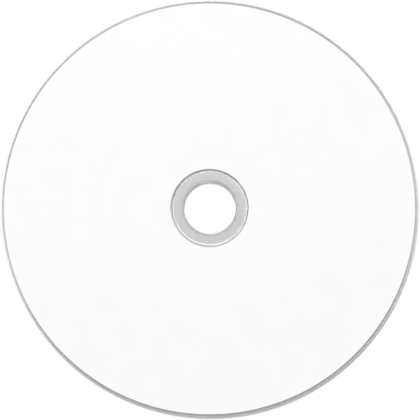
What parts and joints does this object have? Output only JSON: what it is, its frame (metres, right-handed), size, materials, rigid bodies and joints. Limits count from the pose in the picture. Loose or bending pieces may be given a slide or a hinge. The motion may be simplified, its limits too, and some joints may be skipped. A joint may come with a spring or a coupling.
{
  "type": "printable recordable optical disc",
  "caption": "Flat round recordable disc with a centre hole: clear bonded half-discs, inner recording films and a white ink-receiving face.",
  "frame": {"origin": "on the disc's axis, at the plane that the foot of the stacking ring stands on", "axes": "+Z along the disc's axis, out of the label side; +X and +Y in the plane of the disc"},
  "size_m": [0.12, 0.12, 0.0014],
  "materials": {
    "read_side_polycarbonate": "polished clear polycarbonate",
    "organic_dye": "violet-blue spun film",
    "silver_film": "sputtered mirror film",
    "cured_resin": "clear cured resin",
    "label_side_polycarbonate": "polished clear polycarbonate",
    "white_print_coat": "matte ink-receiving coat"
  },
  "bodies": {
    "root": {"read_side_substrate": "read_side_polycarbonate", "dye_layer": "organic_dye", "reflective_layer": "silver_film", "adhesive_layer": "cured_resin", "label_side_substrate": "label_side_polycarbonate", "printable_coating": "white_print_coat"}
  },
  "joints": []
}
